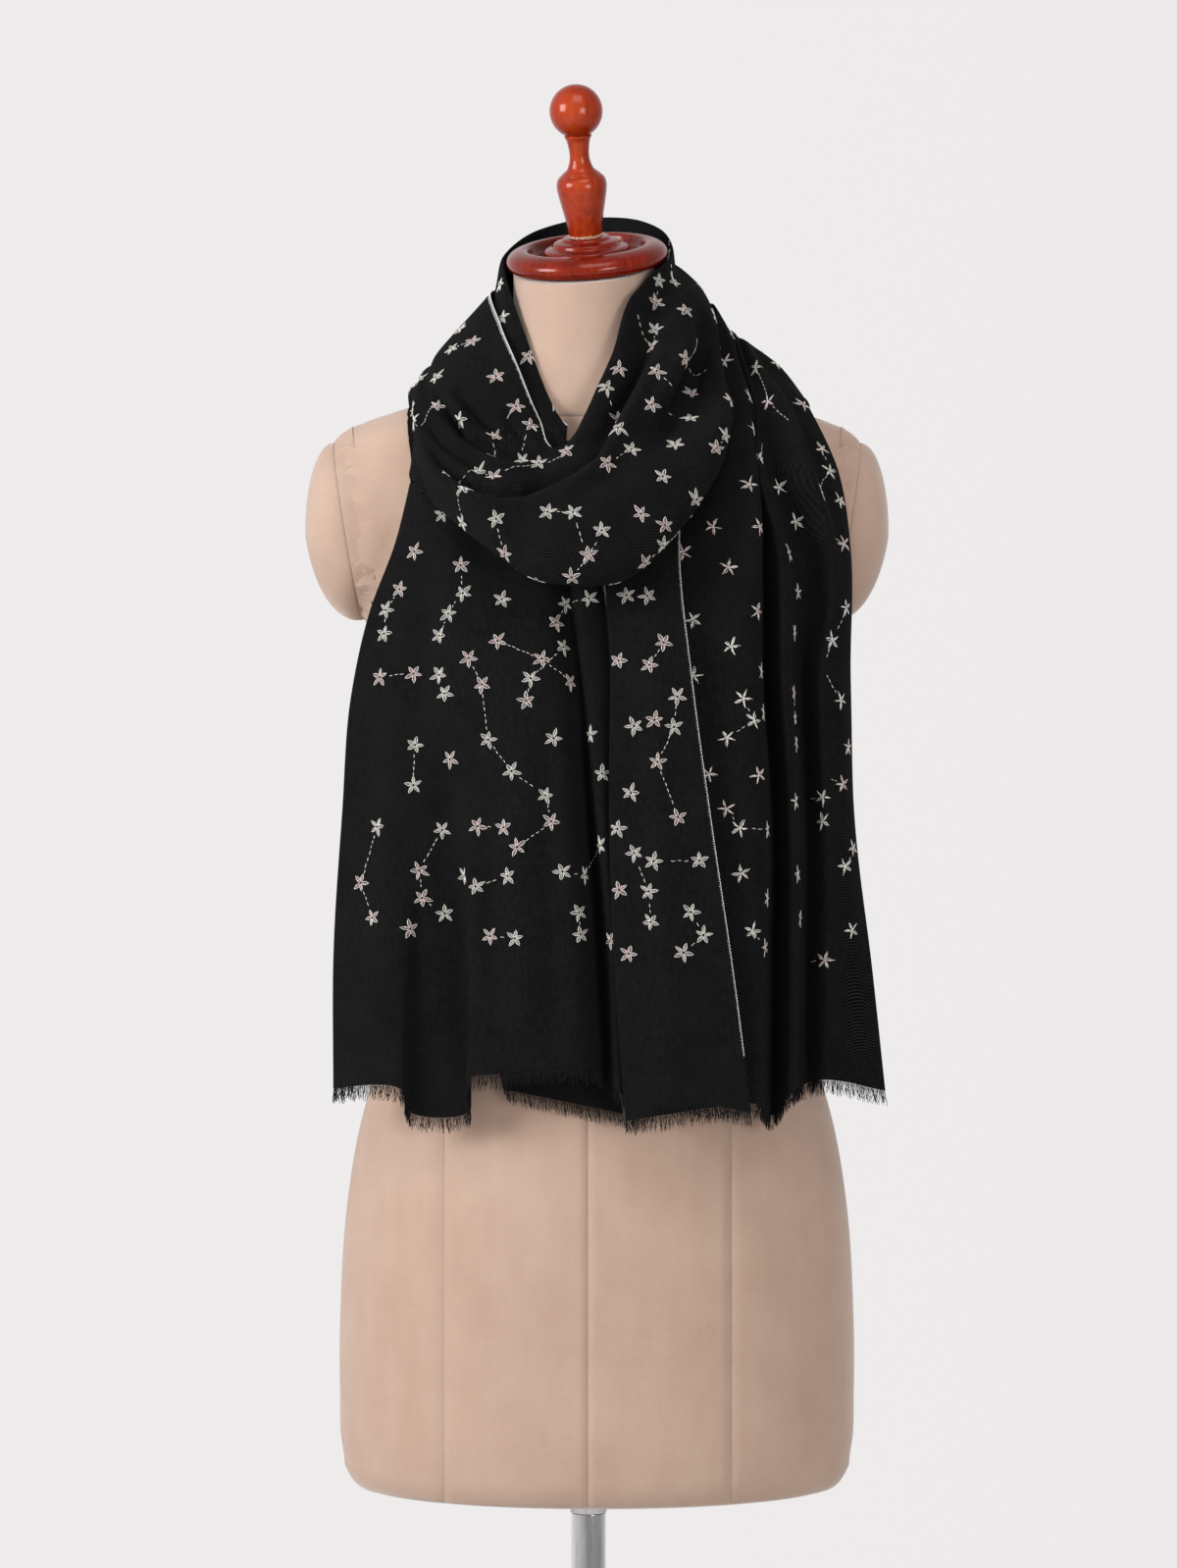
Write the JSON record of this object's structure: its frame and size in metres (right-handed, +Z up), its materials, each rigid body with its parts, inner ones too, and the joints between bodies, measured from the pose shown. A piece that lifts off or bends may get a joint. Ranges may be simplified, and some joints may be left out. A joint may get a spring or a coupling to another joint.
{
  "type": "pashmina shawl on dress form",
  "caption": "Light shawl wound once round the neck of a limbless dress form on a pole stand, both ends hanging in front with fringed hems.",
  "frame": {"origin": "centre of the base plate's underside, on the floor under the pole", "axes": "+Z up, -Y the way the front of the form faces, +X to the viewer's right from the front"},
  "size_m": [0.4188, 0.36, 1.6213],
  "materials": {
    "chrome": "polished tube and plate",
    "velvet": "short beige velvet pulled tight over the form",
    "wood": "red-brown gloss lacquer",
    "pashmina": "black fine twill, matt, with cream stitching"
  },
  "bodies": {
    "root": {"base_plate": "chrome", "base_boss": "chrome", "pole": "chrome", "pole_collar": "chrome", "form_torso": "velvet", "arm_cap_left": "velvet", "arm_cap_right": "velvet", "neck_cap": "wood", "finial": "wood", "shawl_collar": "pashmina", "shawl_cowl": "pashmina", "shawl_back": "pashmina", "shawl_tail_left": "pashmina", "shawl_tail_right": "pashmina", "shawl_tail_turned": "pashmina", "fringe_left": "pashmina", "fringe_right": "pashmina", "fringe_turned": "pashmina"}
  },
  "joints": []
}
